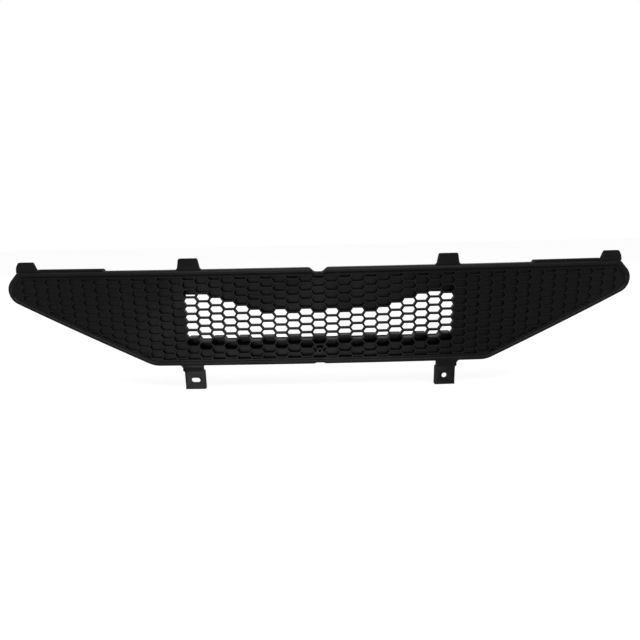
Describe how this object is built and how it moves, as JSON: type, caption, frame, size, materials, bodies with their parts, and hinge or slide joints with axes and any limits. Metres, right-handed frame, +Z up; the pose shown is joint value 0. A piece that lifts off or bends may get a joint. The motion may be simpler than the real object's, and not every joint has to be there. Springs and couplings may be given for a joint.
{
  "type": "front grille",
  "caption": "Wide bowed honeycomb grille insert for the lower opening of a car's front bumper: open mesh in the middle, blind cells around it, rolled rim, clip tabs and fixing brackets.",
  "frame": {"origin": "centre of the whole part's bounding box", "axes": "+X to the right of someone facing the front, +Y back into the car, +Z up; the front faces -Y"},
  "size_m": [0.9524, 0.0424, 0.203],
  "materials": {
    "panel_plastic": "fine-grained black moulding",
    "rim_plastic": "fine-grained satin black moulding"
  },
  "bodies": {
    "root": {"honeycomb_left": "panel_plastic", "honeycomb_right": "panel_plastic", "honeycomb_upper": "panel_plastic", "honeycomb_lower": "panel_plastic", "deep_cell_row": "panel_plastic", "open_mesh": "panel_plastic", "back_rail_lower": "panel_plastic", "back_rail_upper": "panel_plastic", "rim_top": "rim_plastic", "rim_bottom": "rim_plastic", "rim_slope_left": "rim_plastic", "rim_slope_right": "rim_plastic", "rim_tip_left": "rim_plastic", "rim_tip_right": "rim_plastic", "tab_inner_left": "rim_plastic", "tab_inner_right": "rim_plastic", "tab_outer_left": "rim_plastic", "tab_outer_right": "rim_plastic", "top_fin_left": "rim_plastic", "top_fin_right": "rim_plastic", "bracket_left": "rim_plastic", "bracket_right": "rim_plastic", "locating_boss": "rim_plastic"}
  },
  "joints": []
}
